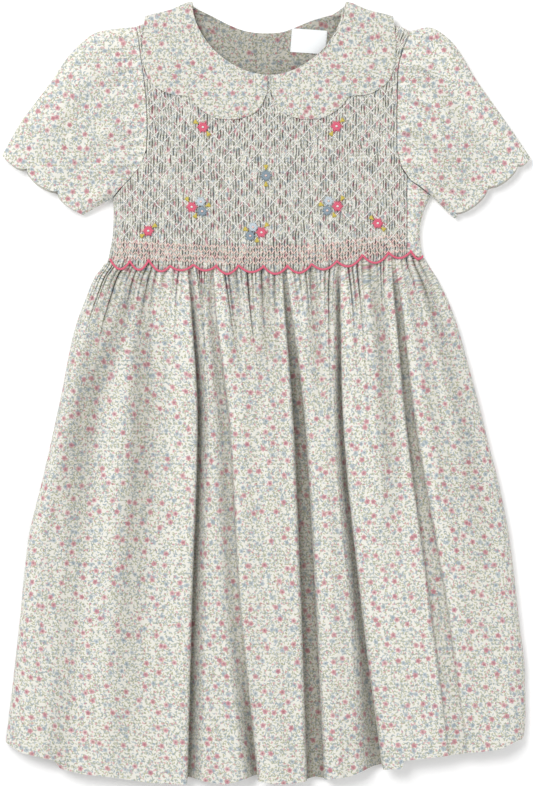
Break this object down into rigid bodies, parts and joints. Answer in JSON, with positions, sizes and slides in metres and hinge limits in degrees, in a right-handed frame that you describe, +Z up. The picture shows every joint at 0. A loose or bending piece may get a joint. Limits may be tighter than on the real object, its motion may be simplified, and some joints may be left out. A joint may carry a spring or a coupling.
{
  "type": "smocked dress",
  "caption": "Child's short-sleeved dress laid flat, with a smocked bodice, rounded collar, puffed sleeves and gathered skirt.",
  "frame": {"origin": "on the surface the dress lies on, under the middle of its outline", "axes": "+Z up out of the surface, out of the dress's front; +Y towards the neck, -Y towards the hem; +X towards the sleeve on the right as seen from above"},
  "size_m": [0.4478, 0.661, 0.02],
  "materials": {
    "printed_cotton": "matt cotton with a small floral print",
    "smocked_cotton": "pleated and smocked printed cotton",
    "label_tape": "smooth woven label",
    "pearl_button": "pearly plastic"
  },
  "bodies": {
    "root": {"bodice_front": "smocked_cotton", "bodice_back_left": "printed_cotton", "bodice_back_right": "printed_cotton", "skirt_front": "printed_cotton", "skirt_back": "printed_cotton", "sleeve_left": "printed_cotton", "sleeve_right": "printed_cotton", "collar_left": "printed_cotton", "collar_right": "printed_cotton", "neck_label": "label_tape", "back_button_1": "pearl_button", "back_button_2": "pearl_button", "back_button_3": "pearl_button"}
  },
  "joints": []
}
